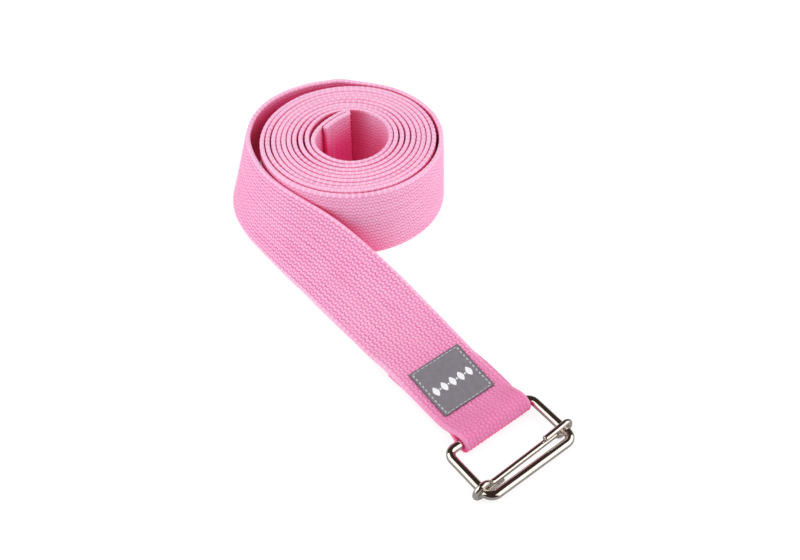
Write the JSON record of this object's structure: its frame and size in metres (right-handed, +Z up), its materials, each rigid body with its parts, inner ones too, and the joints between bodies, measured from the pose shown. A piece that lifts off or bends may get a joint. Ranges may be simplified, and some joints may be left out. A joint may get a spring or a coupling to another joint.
{
  "type": "stretching strap",
  "caption": "Cotton webbing exercise strap wound in a flat coil standing on its edge, with a sewn label and a wire slide buckle on its free end.",
  "frame": {"origin": "centre of the bounding box's base, on the surface the strap stands on", "axes": "+Z up along the coil's axis and the webbing's width, -Y from the coil towards the buckle, +X along the cross bar"},
  "size_m": [0.1218, 0.248, 0.0381],
  "materials": {
    "cotton_webbing": "heavy woven cotton webbing, matte, fine bumpy rib",
    "nickel_wire": "round steel wire, bright nickel plate",
    "woven_label": "flat woven label, satin grey",
    "grey_thread": "light grey sewing thread",
    "pink_thread": "pink sewing thread"
  },
  "bodies": {
    "strap": {"webbing": "cotton_webbing", "label": "woven_label", "label_needle_thread": "grey_thread", "label_bobbin_thread": "grey_thread", "hem_needle_thread": "pink_thread", "hem_bobbin_thread": "pink_thread"},
    "buckle": {"buckle_frame": "nickel_wire"},
    "slider": {"slide_bar": "nickel_wire"}
  },
  "joints": [
    {"name": "buckle_swing", "type": "hinge", "parent": "strap", "child": "buckle", "pos_m": [-0.03237, -0.09498, 0.00501], "axis": [-1, 0, 0], "range_deg": [0, 140]},
    {"name": "bar_slide", "type": "slide", "parent": "buckle", "child": "slider", "axis": [0, 1, 0], "range_m": [0, 0.012]}
  ]
}
